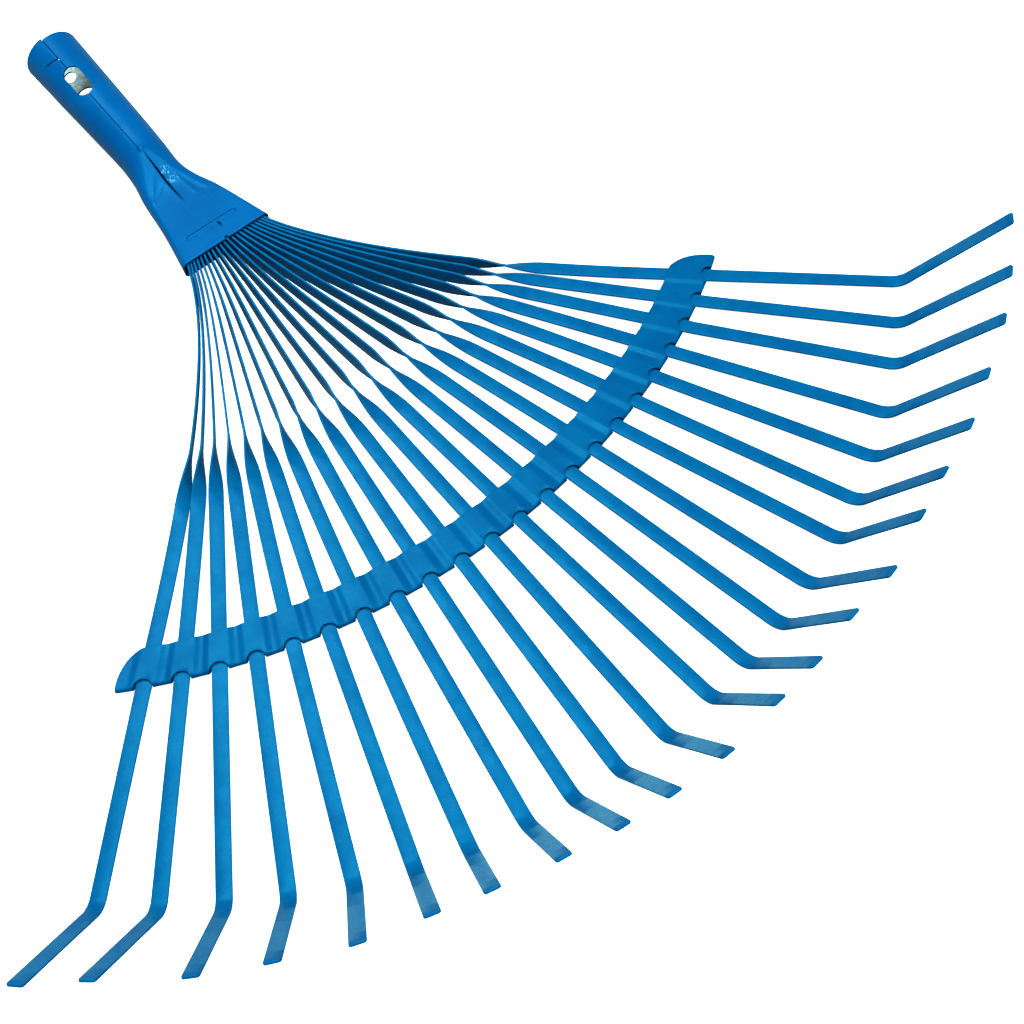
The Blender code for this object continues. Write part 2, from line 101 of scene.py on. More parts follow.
# Tines that use has bent, by number: how far each stands aside at its bend, in millimetres towards +X,
# and the degrees that its hook leans the same way and is turned further up.
BENT = {
    1: (0.5, 2.5, 0.0),
    2: (-1.0, 3.0, -2.0),
    3: (-2.5, 1.5, -2.0),
    6: (0.0, 1.0, 2.5),
    7: (-2.0, 0.0, 2.5),
    9: (0.0, 0.0, 2.0),
    11: (-1.0, -2.0, 0.0),
    12: (1.0, -1.0, -3.0),
    13: (2.0, -2.0, -2.5),
    14: (1.0, -3.0, -2.0),
    15: (-1.0, -1.0, -2.0),
    17: (-1.0, -2.0, 0.0),
    18: (-1.0, -1.0, -1.0),
    21: (0.0, 6.0, 3.0),
    22: (-1.5, 3.0, 1.0),
}

# Plan arcs that the tines cross, at the spreader's free edge and at the bends. A tine's angle on an arc,
# in degrees, is a first number times its share of the fan's half-width plus a second times the share's cube.
EDGE_ARC_RADIUS = 274.2
EDGE_ARC_CENTRE_Y = -97.4
EDGE_ARC_TURN = (29.69, -0.755)
BEND_ARC_RADIUS = 288.7
BEND_ARC_CENTRE_Y = 7.5
BEND_ARC_TURN = (42.65, 2.37)
FAN_START = 22.0
FAN_DROOP = 0.0218

# Spreader: one sheet folded over the tines, pinched flat between them, with a punched notch at each.
SHEET = 0.9
FOLD_ARC_RADIUS = 290.6
FOLD_ARC_CENTRE = np.array((-1.2, EDGE_ARC_CENTRE_Y))
PINCH_HALF = 1.12
BULGE_HALF = STRIP_THICK / 2 + GAP + SHEET
BULGE_FLAT = 3.2
BULGE_RUN = 3.3
BULGE_UNEVEN = 0.06
PITCH_AT_EDGE = 13.2
COLUMNS_PER_GAP = 30
TOP_ROWS = 5
FOLD_ROWS = 7
SEAM_NICK = 0.5
END_REACH = 10.6
END_RUN = 16.5
END_COLUMNS = 24
END_CORNER = 1.2
END_CORNER_START = 0.72
NOTCH_RADIUS = 3.75
NOTCH_OUTSET = 0.4
SPREADER_BEVEL = 0.22

# Socket: a tapered tube, pitched up towards its mouth, flattened into the clamp.
WALL = 1.0
RIM_RADIUS = 0.3
RIM_STEPS = 4
MOUTH_Y = -137.0
MOUTH_RADIUS = 13.4
MOUTH_STEP = 1.2
TAPER = 0.030
TUBE_END_Y = -62.0
TUBE_PITCH = math.radians(6.6)
AXIS_LEVEL_Y = -8.0
CLAMP_START_Y = -36.0
CLAMP_SQUARE_Y = -26.0
CLAMP_FRONT_Y = 2.5
CLAMP_HALF_HEIGHT = 4.4
CLAMP_CORNER = 2.6
FLARE_Y = -46.0
FLARE_HALF_WIDTH = 12.0
FLARE_SLOPE = 0.2227
FLARE_BLEND = 1.0
KNEE_ASIDE = 1.8
KNEE_Y = -43.0
KNEE_RUN = 14.0
RING_POINTS = 208
CORNER_WEIGHT = 12.0
TUBE_STEP = 2.0
CLAMP_STEP = 0.3
SEAM_AZIMUTH = math.radians(12.0)
SEAM_GAP = 0.55
SEAM_DEPTH = 0.7
SLOT_WIDTH = 8.0
SLOT_ENDS = (-116.0, -98.3)
SLIT_ENDS = (-58.0, -26.0)
SLIT_WIDTH = 1.1
SLIT_X = 1.6
TICK_Y = -122.4
TICK_SIZE = (6.5, 0.8)
TICK_SLANT = 2.0
BACK_HOLE_Y = -131.0
BACK_HOLE_RADIUS = 3.0
BACK_SLOT_ENDS = (-121.3, -101.0)
BACK_SLOT_WIDTH = 9.0
BEAD_LENGTH = 25.4
BEAD_WIDTH = 2.2
BEAD_DEPTH = 0.7
BEAD_Y = -8.5
BEAD_TICK_X = -3.0
BEAD_TICK = (0.9, 3.6)
FRONT_NICK_X = -0.8
FRONT_NICK = (1.6, 1.2)

# Pressed details on the socket's top, as (x, y) points.
PUCKER_AT = (1.6, -59.0)
PUCKER_SIZE = 1.6
PUCKER_HEIGHT = 0.55
LIP_HEIGHT = 0.35
LIP_WIDTH = 1.2
LEFT_FOLDS = (((-3.0, -50.0), (-10.5, -29.0)), ((-3.5, -47.0), (-5.0, -30.0)))
RIGHT_FOLDS = (((5.0, -46.0), (13.0, -35.5)), ((4.5, -40.0), (12.0, -35.0)))
FOLD_HEIGHT = 0.22
FOLD_WIDTH = 0.8
# Painted glints beside the slit: their centres, as (x, y, z) points, and how far they reach.
PAINTED_GLINT_AT = ((-1.2, -45.0, 7.4), (-1.6, -41.0, 6.4))
PAINTED_GLINT_REACH = 3.6

# Paint. The enamel is a saturated mid blue, a little deeper where it is thick.
BLUE = (0.0, 0.070, 0.176)
DEEP_BLUE = (0.0, 0.056, 0.158)
SOCKET_BLUE = (0.0, 0.074, 0.222)
SOCKET_DEEP_BLUE = (0.0, 0.062, 0.198)
# Thinner paint, used for the fine grain and for the edges, where it also paints an edge highlight.
THIN_PAINT_AND_HIGHLIGHT_BLUE = (0.003, 0.118, 0.262)
# The colour of the painted sheen, a painted reflection on the hooks.
PAINTED_SHEEN_COLOUR = (0.100, 0.230, 0.330)
GLOSS_TINT = (0.05, 0.60, 1.0)
GLOSS_LEVEL = 0.2
# The pale colour of the painted glints beside the slit.
PAINTED_GLINT = (0.30, 0.50, 0.72)
ZINC = (1.0, 0.90, 0.80)
DARK_ZINC = (0.60, 0.50, 0.45)
# The near-black of the painted shade deep inside the tube, and how far from the mouth it has fully set in.
SHADED_ZINC = (0.03, 0.04, 0.05)
ZINC_SHADE_FADE = 75.0

# Studio, in metres and watts. The floor throws back less onto the rake than the camera sees of it, as on a
# lit paper sweep, and it glows to the camera, so that it stays white.
FLOOR_SIZE = 8.0
FLOOR_BOUNCE = (0.22, 0.22, 0.22)
FLOOR_SEEN = (0.95, 0.95, 0.95)
FLOOR_GLOW = 1.0

# Soft light, a little cool. Each box has a place, a size and a power.
AIM = (0.0, 0.05, 0.0)
OVERHEAD_BOX = ((-0.10, 0.20, 1.5), 1.0, 30)
SOCKET_SIDE_BOX = ((0.0, -0.55, 1.35), 0.7, 20)
LAMP_COLOUR = (0.55, 0.97, 1.0)
AIR_COLOUR = (0.20, 0.68, 1.0)
AIR_STRENGTH = 0.40

# Camera, round a point on the floor under the fan.
VIEW_AZIMUTH = math.radians(144.796)
VIEW_ELEVATION = math.radians(59.705)
VIEW_ROLL = math.radians(5.849)
VIEW_TARGET = Vector((-8.74, 93.89, 0.0))
VIEW_DISTANCE = 591.3
LENS = 52.734


# Geometry helpers.


def unit(vector):
    return vector / np.linalg.norm(vector)


def smooth(value):
    """A step from 0 to 1 with flat ends."""
    value = np.clip(value, 0.0, 1.0)
    return value * value * (3 - 2 * value)


def bell(value):
    return np.exp(-np.square(value))


def middle(ends):
    return (ends[0] + ends[1]) / 2


def datum_matrix():
    """Where the clamp's datum lies in the frame, worked out from the pole mount on the tube's rim."""
    mount = frame["record"]["mounts"][0]
    position, axis = Vector(mount["pos_m"]), mount["axis"]
    tilt = math.atan2(axis[2], -axis[1]) - TUBE_PITCH
    turn = Matrix.Rotation(-tilt, 4, "X")
    rim = Vector((MOUTH_RADIUS - WALL / 2, MOUTH_Y, axis_height(MOUTH_Y))) * MM
    return Matrix.Translation(position - turn @ rim) @ turn


def ring_faces(rings, count):
    """Quads between neighbouring rings of points."""
    return [
        (a * count + i, a * count + (i + 1) % count, (a + 1) * count + (i + 1) % count, (a + 1) * count + i)
        for a in range(rings - 1)
        for i in range(count)
    ]


def end_caps(rings, count):
    return [tuple(range(count)), tuple(range((rings - 1) * count, rings * count))]


def mesh_object(name, points, faces, materials=()):
    """An object from points in millimetres round the datum, with its faces turned outwards."""
    mesh = bpy.data.meshes.new(name)
    mesh.from_pydata((np.asarray(points) * MM).tolist(), [], faces)
    mesh.transform(DATUM)
    form = bmesh.new()
    form.from_mesh(mesh)
    bmesh.ops.recalc_face_normals(form, faces=form.faces)
    form.to_mesh(mesh)
    form.free()
    for material in materials:
        mesh.materials.append(material)
    obj = bpy.data.objects.new(name, mesh)
    bpy.context.collection.objects.link(obj)
    return obj


def smooth_shading(obj, degrees):
    obj.data.shade_smooth()
    obj.data.set_sharp_from_angle(angle=math.radians(degrees))


def point_values(obj, name, values):
    """A number for each of the mesh's points, which the paint reads."""
    attribute = obj.data.attributes.new(name, "FLOAT", "POINT")
    attribute.data.foreach_set("value", np.asarray(values, np.float32))


def clear_wear_and_painted_light(obj):
    for name in ("wear_and_edge_highlight", "painted_sheen"):
        point_values(obj, name, np.zeros(len(obj.data.vertices)))


def prism(outline, low, high):
    """Points and faces of an upright prism on a closed plan outline."""
    points = [(x, y, low) for x, y in outline] + [(x, y, high) for x, y in outline]
    return points, ring_faces(2, len(outline)) + end_caps(2, len(outline))


def circle(centre, radius):
    turns = (math.pi * i / ARC_STEPS for i in range(2 * ARC_STEPS))
    return [(centre[0] + radius * math.cos(turn), centre[1] + radius * math.sin(turn)) for turn in turns]


def obround(length, width):
    """A slot outline along Y, round at both ends."""
    radius, half = width / 2, (length - width) / 2
    turns = [math.pi * i / ARC_STEPS for i in range(ARC_STEPS + 1)]
    far = [(radius * math.cos(turn), half + radius * math.sin(turn)) for turn in turns]
    return far + [(-x, -y) for x, y in far]


def lens_outline(start, end, width):
    """A slit outline along Y, pointed at both ends."""
    stations = [i / ARC_STEPS for i in range(ARC_STEPS + 1)]
    right = [(width / 2 * math.sin(math.pi * t), start + (end - start) * t) for t in stations]
    return right + [(-x, y) for x, y in right[-2:0:-1]]


def rectangle(width, length):
    x, y = width / 2, length / 2
    return [(-x, -y), (x, -y), (x, y), (-x, y)]


def moved(outline, x, y):
    return [(px + x, py + y) for px, py in outline]


def joined(pieces):
    """Several (points, faces) forms as one."""
    points, faces = [], []
    for piece_points, piece_faces in pieces:
        faces += [tuple(index + len(points) for index in face) for face in piece_faces]
        points += list(piece_points)
    return points, faces


def carve(target, forms):
    """Takes (points, faces) forms that don't touch each other away from an object."""
    cutter = mesh_object("cutter", *joined(forms))
    boolean = target.modifiers.new("carve", "BOOLEAN")
    boolean.operation = "DIFFERENCE"
    boolean.solver = "EXACT"
    boolean.object = cutter
    bake_modifiers(target)
    bpy.data.objects.remove(cutter, do_unlink=True)


def bake_modifiers(obj):
    """Turns the object's modifiers into plain mesh."""
    graph = bpy.context.evaluated_depsgraph_get()
    made = bpy.data.meshes.new_from_object(obj.evaluated_get(graph), depsgraph=graph)
    obj.modifiers.clear()
    obj.data = made


# Plan layout, shared by the tines and the spreader. Share is -1 at the first tine and 1 at the last.


def arc_point(radius, centre_y, turn, share):
    angle = math.radians(turn[0] * share + turn[1] * share**3)
    return np.array((radius * math.sin(angle), centre_y + radius * math.cos(angle)))


def edge_point(share):
    """Where a tine enters the spreader's free edge."""
    return arc_point(EDGE_ARC_RADIUS, EDGE_ARC_CENTRE_Y, EDGE_ARC_TURN, share)


def bend_point(share):
    """Where a tine turns up, as the corner of its two straight lines."""
    return arc_point(BEND_ARC_RADIUS, BEND_ARC_CENTRE_Y, BEND_ARC_TURN, share)


def tine_share(number):
    return 2 * (number - 1) / (TINE_COUNT - 1) - 1


def raise_to_fan(plan):
    """Plan points placed on the fan, whose sides droop a little so that every bend meets the floor."""
    plan = np.atleast_2d(plan)
    distance = np.hypot(plan[:, 0], plan[:, 1])
    beyond = np.maximum(distance - FAN_START, 0.0)
    return np.column_stack((plan, -FAN_DROOP * beyond * (1 - plan[:, 1] / distance)))


def reach(start, direction):
    """How far a plan line runs from start to the spreader's fold."""
    offset = start - FOLD_ARC_CENTRE
    along = offset @ direction
    return -along + math.sqrt(along**2 - offset @ offset + FOLD_ARC_RADIUS**2)


# Tines.


def root_curve(share):
    """Plan points from the clamp to the spreader, evenly spaced, and their distances before the spreader."""
    root = np.array((ROOT_HALF_SPREAD * share, ROOT_Y))
    edge = edge_point(share)
    splay = ROOT_SPLAY * share
    first = root + ROOT_HANDLE * np.array((math.sin(splay), math.cos(splay)))
    second = edge - SPREADER_HANDLE * unit(bend_point(share) - edge)
    t = np.linspace(0, 1, CURVE_SAMPLES)[:, None]
    curve = (1 - t) ** 3 * root + 3 * (1 - t) ** 2 * t * first + 3 * (1 - t) * t**2 * second + t**3 * edge
    steps = np.linalg.norm(np.diff(curve, axis=0), axis=1)
    before = steps.sum() - np.concatenate(((0.0,), np.cumsum(steps)))
    distances = np.linspace(before[0], 0.0, round(before[0] / SWEEP_STEP), endpoint=False)
    return np.column_stack([np.interp(-distances, -before, curve[:, axis]) for axis in (0, 1)]), distances


def strip_roll(before, length):
    """The strip's roll in radians, by distance before the spreader: on edge, leaning back, then flat."""
    along = np.clip((TWIST_START - before) / (TWIST_START - TWIST_END), 0.0, 1.0)
    twisted = (along + smooth(along)) / 2
    lean = ROOT_LEAN * smooth((length - ROOT_STRAIGHT - before) / ROOT_LEAN_RUN)
    return math.pi / 2 * twisted - lean * (1 - twisted)


def tine_stations(share, aside):
    """(centre, ahead, across) of the stations from the root to where the bend starts."""
    curve, distances = root_curve(share)
    edge, bend = edge_point(share), bend_point(share)
    ahead = unit(bend - edge)
    run = np.linalg.norm(bend - edge)
    stop = run - BEND_RADIUS * math.tan(HOOK_TURN / 2)
    past = np.linspace(0.0, stop, round(stop / SWEEP_STEP))
    drift = aside * np.maximum(past - LEAN_START, 0.0) / (run - LEAN_START)
    straight = edge + past[:, None] * ahead + drift[:, None] * np.array((ahead[1], -ahead[0]))
    points = raise_to_fan(np.vstack((curve, straight)))
    directions = np.gradient(points, axis=0)
    before = np.concatenate((distances, -past))
    lean = LEAN * share * smooth((-before - LEAN_START) / LEAN_RUN)
    points[:, 2] += STRIP_WIDTH / 2 * np.sin(np.abs(lean))
    stations = []
    for point, direction, roll in zip(points, directions, strip_roll(before, distances[0]) + lean):
        ahead = unit(direction)
        side = unit(np.cross(ahead, UP))
        stations.append((point, ahead, math.cos(roll) * np.cross(side, ahead) + math.sin(roll) * side))
    return stations


def strip_outline(half_width, half_thick):
    """Points round the strip's section, with rounded edges, as (across, rise) pairs."""
    radius = min(STRIP_EDGE_RADIUS, half_thick)
    corners = ((1, 1, 0.0), (-1, 1, 0.5), (-1, -1, 1.0), (1, -1, 1.5))
    outline = []
    for right, top, start in corners:
        for turn in np.linspace(start, start + 0.5, EDGE_STEPS) * math.pi:
            across = right * (half_width - radius) + radius * math.cos(turn)
            outline.append((across, top * (half_thick - radius) + radius * math.sin(turn)))
    return outline


def hook_aim(start, share_of_bend, turn, hook_aside):
    """The strip's direction, and the direction of its width, part of the way round the bend."""
    _, ahead, across = start
    up, out = turn * share_of_bend, hook_aside * share_of_bend
    forward = math.cos(up) * ahead + math.sin(up) * np.cross(across, ahead)
    return math.cos(out) * forward + math.sin(out) * across, math.cos(out) * across - math.sin(out) * forward


def hook_stations(start, turn, length, hook_aside):
    """(centre, ahead, across, half-width, half-thickness) from the bend to the rounded tip."""
    half, thick = STRIP_WIDTH / 2, STRIP_THICK / 2
    centre = start[0]
    chord = 2 * BEND_RADIUS * math.sin(turn / BEND_STEPS / 2)
    stations = []
    for step in range(BEND_STEPS):
        halfway, _ = hook_aim(start, (step + 0.5) / BEND_STEPS, turn, hook_aside)
        hook, across = hook_aim(start, (step + 1) / BEND_STEPS, turn, hook_aside)
        centre = centre + chord * halfway
        stations.append((centre, hook, across, half, thick))
    straight = length - BEND_RADIUS * math.tan(turn / 2) - TIP_CORNER
    for along in np.linspace(0, straight, HOOK_STEPS)[1:]:
        stations.append((centre + hook * along, hook, across, half, thick))
    for angle in np.linspace(0, math.pi / 2, TIP_STEPS + 1)[1:]:
        at = centre + hook * (straight + TIP_CORNER * math.sin(angle))
        narrow = half - TIP_CORNER * (1 - math.cos(angle))
        thin = thick - TIP_EDGE * max(0.0, (math.sin(angle) - 0.9) / 0.1) ** 2
        stations.append((at, hook, across, narrow, thin))
    return stations


def painted_sheen_share(from_tip, side, straight):
    """How strongly a painted sheen shows: a patch of painted reflection along the hook, with slanted ends.
    """
    from_patch_end = from_tip - PAINTED_SHEEN_TIP + PAINTED_SHEEN_SLANT * side
    to_patch_start = straight * PAINTED_SHEEN_LENGTH - from_tip - 2 * PAINTED_SHEEN_SLANT * side
    return float(smooth(from_patch_end / PAINTED_SHEEN_FADE) * smooth(to_patch_start / PAINTED_SHEEN_FADE))


def make_tine(number, materials):
    """One tine: a strip with rounded edges that follows its path. Each is bent a little by hand."""
    chance = random.Random(number)
    share = tine_share(number)
    aside, hook_aside, hook_up = BENT.get(number, (0.0, 0.0, 0.0))
    hook_up += chance.uniform(-1, 1) * HAND_BENT_TURN
    turn = HOOK_TURN - HOOK_TURN_LOSS * share**2 + math.radians(hook_up)
    length = HOOK_LENGTH + HOOK_LENGTH_GAIN * share**2 + chance.uniform(-1, 1) * HAND_BENT_LENGTH
    flat = tine_stations(share, aside)
    stations = [(*station, STRIP_WIDTH / 2, STRIP_THICK / 2) for station in flat]
    stations += hook_stations(flat[-1], turn, length, math.radians(hook_aside))
    strength = PAINTED_SHEEN_LEAST + (1 - PAINTED_SHEEN_LEAST) * bell((share - PAINTED_SHEEN_MOST_AT) / PAINTED_SHEEN_SPREAD)
    points, wear_and_edge_highlight, painted_sheen = [], [], []
    for centre, ahead, across, half, thick in stations:
        rise = np.cross(across, ahead)
        from_tip = np.linalg.norm(centre - stations[-1][0])
        for side, top in strip_outline(half, thick):
            points.append(centre + side * across + top * rise)
            from_edge = abs(side) - half + STRIP_THICK / 2
            # Thinner paint at the strip's edges, which also paints an edge highlight, and wear at the tip.
            wear_and_edge_highlight.append(max(smooth(from_edge / STRIP_THICK * 2), bell(from_tip / 2)))
            # How strongly the painted reflection on the hook shows at this point.
            painted_sheen.append(strength * painted_sheen_share(from_tip, side, length - BEND_RADIUS * math.tan(turn / 2)))
    count = len(points) // len(stations)
    faces = ring_faces(len(stations), count) + end_caps(len(stations), count)
    tine = mesh_object(f"strip_{number:02d}", points, faces, materials)
    point_values(tine, "wear_and_edge_highlight", wear_and_edge_highlight)
    point_values(tine, "painted_sheen", painted_sheen)
    smooth_shading(tine, 50)
    return tine


# Spreader.


def sheet_half_height(offset, unevenness):
    """Half of the folded sheet's height, by distance from the nearest tine's middle."""
    bulge = BULGE_HALF + unevenness
    return bulge - (bulge - PINCH_HALF) * float(smooth((offset - BULGE_FLAT) / BULGE_RUN))


def spreader_section(start, direction, half, cut_back=0.0):
    """One section along the tines: the two sheets' free edges, top, rounded fold and underside."""
    fold = reach(start, direction) - half - cut_back
    flat = [(along, half) for along in np.linspace(0.0, fold, TOP_ROWS)[1:]]
    turns = np.linspace(0, math.pi / 2, FOLD_ROWS)[1:]
    fold_arc = [(fold + half * math.sin(turn), half * math.cos(turn)) for turn in turns]
    upper = [(0.0, SHEET / 8), (0.0, half - SHEET / 8), (SHEET / 8, half)] + flat + fold_arc
    stations = [(SEAM_NICK, 0.0)] + upper + [(along, -height) for along, height in upper[-2::-1]]
    plan = [start + along * direction for along, _ in stations]
    return [point + UP * height for point, (_, height) in zip(raise_to_fan(plan), stations)]


def spreader_columns():
    """(start, direction, half-height) of each section, from the first tine's end to the last's."""
    chance = random.Random(TINE_COUNT)
    uneven = [chance.uniform(-1, 1) * BULGE_UNEVEN for _ in range(TINE_COUNT)]
    first = np.linspace(1, 0, END_COLUMNS, endpoint=False)
    columns = [spreader_end(share, -1, uneven[0]) for share in first]
    for gap in range(TINE_COUNT - 1):
        for step in range(COLUMNS_PER_GAP):
            share_of_gap = step / COLUMNS_PER_GAP
            share = 2 * (gap + share_of_gap) / (TINE_COUNT - 1) - 1
            start = edge_point(share)
            offset = PITCH_AT_EDGE * min(share_of_gap, 1 - share_of_gap)
            half = sheet_half_height(offset, uneven[gap + round(share_of_gap)])
            columns.append((start, unit(bend_point(share) - start), half))
    last = [spreader_end(share, 1, uneven[-1]) for share in np.linspace(0, 1, END_COLUMNS + 1)]
    return columns + last


def spreader_end(share, side, unevenness):
    """A column beyond the outermost tine, where the free edge sweeps forward to a fin."""
    edge = edge_point(side)
    direction = unit(bend_point(side) - edge)
    outward = side * np.array((direction[1], -direction[0]))
    offset = END_REACH * math.sin(math.pi / 2 * share)
    start = edge + outward * offset + direction * END_RUN * (1 - math.cos(math.pi / 2 * share))
    corner = max(share - END_CORNER_START, 0.0) / (1 - END_CORNER_START)
    return start, direction, sheet_half_height(offset, unevenness), END_CORNER * corner**2


def tine_channel(share):
    """The room that one tine's strip takes between the two layers of sheet."""
    edge = edge_point(share)
    direction = unit(bend_point(share) - edge)
    side = np.array((direction[1], -direction[0], 0.0))
    beyond = reach(edge, direction) + CUT_PAST
    ends = raise_to_fan([edge - CUT_PAST * direction, edge + beyond * direction])
    wide, high = STRIP_WIDTH / 2 + GAP, STRIP_THICK / 2 + GAP
    corners = ((-wide, -high), (wide, -high), (wide, high), (-wide, high))
    points = [end + side * across + UP * up for end in ends for across, up in corners]
    return points, ring_faces(2, len(corners)) + end_caps(2, len(corners))


def fold_notch(share):
    """The punched hole that the fold leaves as a half-round notch over a tine."""
    edge = edge_point(share)
    direction = unit(bend_point(share) - edge)
    centre = edge + (reach(edge, direction) + NOTCH_OUTSET) * direction
    height = raise_to_fan(centre)[0][2]
    return prism(circle(centre, NOTCH_RADIUS), height - CUT_PAST, height + CUT_PAST)


def make_spreader(materials):
    sections = [spreader_section(*column) for column in spreader_columns()]
    count = len(sections[0])
    points = [point for section in sections for point in section]
    faces = ring_faces(len(sections), count) + end_caps(len(sections), count)
    spreader = mesh_object("folded_sheet", points, faces, materials)
    shares = [tine_share(number) for number in range(1, TINE_COUNT + 1)]
    carve(spreader, map(tine_channel, shares))
    carve(spreader, map(fold_notch, shares))
    bevel = spreader.modifiers.new("soft_edges", "BEVEL")
    bevel.width = SPREADER_BEVEL * MM
    bevel.segments = 2
    bevel.limit_method = "ANGLE"
    bevel.angle_limit = math.radians(50)
    bake_modifiers(spreader)
    clear_wear_and_painted_light(spreader)
    smooth_shading(spreader, 40)
    return spreader


# Socket.


def axis_height(y):
    """The socket axis: pitched along the tube, level in the clamp, and a smooth bend between them."""
    if y <= TUBE_END_Y:
        return math.tan(TUBE_PITCH) * (middle((TUBE_END_Y, AXIS_LEVEL_Y)) - y)
    return math.tan(TUBE_PITCH) * max(AXIS_LEVEL_Y - y, 0.0) ** 2 / (2 * (AXIS_LEVEL_Y - TUBE_END_Y))


def axis_slope(y):
    bend_left = (AXIS_LEVEL_Y - y) / (AXIS_LEVEL_Y - TUBE_END_Y)
    return -math.tan(TUBE_PITCH) * min(max(bend_left, 0.0), 1.0)


def off_centre(y):
    """How far the sheet stands towards +X, because it was flattened a little off centre."""
    return KNEE_ASIDE * float(bell((y - KNEE_Y) / KNEE_RUN))


def socket_section(y):
    """Half-width, half-height and corner radius: a circle along the tube and a flat box in the clamp."""
    radius = MOUTH_RADIUS - TAPER * (min(y, TUBE_END_Y) - MOUTH_Y)
    flare = FLARE_HALF_WIDTH + FLARE_SLOPE * (y - FLARE_Y)
    flared = (radius + flare + math.hypot(radius - flare, FLARE_BLEND)) / 2
    wide = flared if y > TUBE_END_Y else radius
    flat = float(smooth((y - TUBE_END_Y) / (CLAMP_START_Y - TUBE_END_Y)))
    high = radius + (CLAMP_HALF_HEIGHT - radius) * flat
    square = float(smooth((y - FLARE_Y) / (CLAMP_SQUARE_Y - FLARE_Y)))
    return wide, high, high + (CLAMP_CORNER - high) * square


def section_points(wide, high, corner):
    """(across, up, normal across, normal up) round a rounded rectangle, from the middle of its underside."""
    flat, wall, quarter = wide - corner, high - corner, math.pi / 2
    lengths = np.array((flat, 0, 2 * wall, 0, 2 * flat, 0, 2 * wall, 0, flat)) + corner * quarter * np.array(
        (0, 1, 0, 1, 0, 1, 0, 1, 0)
    )
    turns = quarter * np.array((0, 1, 0, 1, 0, 1, 0, 1, 0))
    knots = np.concatenate(((0.0,), np.cumsum(lengths + CORNER_WEIGHT * turns)))
    at = np.arange(RING_POINTS) / RING_POINTS * knots[-1]
    turn = np.interp(at, knots, np.concatenate(((0.0,), np.cumsum(turns))))
    across = np.interp(at, knots, flat * np.array((0, 1, 1, 1, 1, -1, -1, -1, -1, 0)))
    up = np.interp(at, knots, wall * np.array((-1, -1, -1, 1, 1, 1, 1, -1, -1, -1)))
    normal = np.column_stack((np.sin(turn), -np.cos(turn)))
    return np.column_stack((across, up)) + corner * normal, normal


def from_line(x, y, start, end):
    """Distance of plan points from a line, and how far they are past its ends."""
    start, end = np.array(start), np.array(end)
    length = np.linalg.norm(end - start)
    ahead = (end - start) / length
    along = (x - start[0]) * ahead[0] + (y - start[1]) * ahead[1]
    across = (x - start[0]) * ahead[1] - (y - start[1]) * ahead[0]
    return across, np.maximum(np.maximum(-along, along - length), 0.0)


def relief(x, y):
    """Height of the pressed details on the socket's top: bead, pucker, slit lips and folds."""
    from_bead = np.hypot(np.maximum(np.abs(x) - (BEAD_LENGTH - BEAD_WIDTH) / 2, 0.0), y - BEAD_Y)
    height = -BEAD_DEPTH * smooth((BEAD_WIDTH / 2 - from_bead) / (BEAD_WIDTH / 4) + 0.5)
    from_pucker = np.hypot(x - PUCKER_AT[0], y - PUCKER_AT[1])
    height += PUCKER_HEIGHT * bell(from_pucker / PUCKER_SIZE)
    slit_share = np.clip((y - SLIT_ENDS[0]) / (SLIT_ENDS[1] - SLIT_ENDS[0]), 0.0, 1.0)
    height += LIP_HEIGHT * np.sin(math.pi * slit_share) * bell((x - SLIT_X - LIP_WIDTH) / LIP_WIDTH)
    for start, end in LEFT_FOLDS + RIGHT_FOLDS:
        across, past = from_line(x, y, start, end)
        height += FOLD_HEIGHT * bell(across / FOLD_WIDTH) * bell(past / (2 * FOLD_WIDTH))
    return height


def socket_ring(y, inset, back):
    """Ring of points at station y, inset from the outer surface and moved back along the axis."""
    ahead = unit(np.array((0.0, 1.0, axis_slope(y))))
    upright = np.array((0.0, -ahead[2], ahead[1]))
    wide, high, corner = socket_section(y)
    flat, normal = section_points(wide, high, corner)
    flat = flat - inset * normal
    facing_up = smooth(normal[:, 1])
    pressed = relief(flat[:, 0] + off_centre(y), y) * facing_up * (1 - inset / WALL)
    flat = flat + pressed[:, None] * normal
    centre = np.array((off_centre(y), y, axis_height(y))) - back * ahead
    return centre + flat[:, :1] * np.array((1.0, 0.0, 0.0)) + flat[:, 1:] * upright


def rim_arc(y, outwards):
    """Rings round the sheet's edge at an end of the socket, from the outer surface to the inner one."""
    rings = []
    for middle_inset, start in ((RIM_RADIUS, 0.0), (WALL - RIM_RADIUS, 0.5)):
        for turn in np.linspace(start, start + 0.5, RIM_STEPS) * math.pi:
            bulge = RIM_RADIUS * (math.sin(turn) - 1)
            rings.append(socket_ring(y, middle_inset - RIM_RADIUS * math.cos(turn), outwards * bulge))
    return rings


def socket_stations():
    tube = np.arange(MOUTH_Y + 2 * RIM_RADIUS, TUBE_END_Y, TUBE_STEP)
    return np.concatenate((tube, np.arange(TUBE_END_Y, CLAMP_FRONT_Y - 2 * RIM_RADIUS, CLAMP_STEP)))


def tube_frame(y, azimuth):
    """Tangent, forward and outward directions on the socket, and its axis point, at azimuth from the top."""
    ahead = unit(np.array((0.0, 1.0, axis_slope(y))))
    upright = np.array((0.0, -ahead[2], ahead[1]))
    across = np.array((1.0, 0.0, 0.0))
    outward = math.sin(azimuth) * across + math.cos(azimuth) * upright
    tangent = math.cos(azimuth) * across - math.sin(azimuth) * upright
    return tangent, ahead, outward, np.array((off_centre(y), y, axis_height(y)))


def tube_prism(outline, low, high, y):
    """A prism through the tube wall at station y, square to the wall at the seam's azimuth."""
    tangent, ahead, outward, centre = tube_frame(y, SEAM_AZIMUTH)
    points, faces = prism(outline, low, high)
    return [centre + x * tangent + along * ahead + z * outward for x, along, z in points], faces


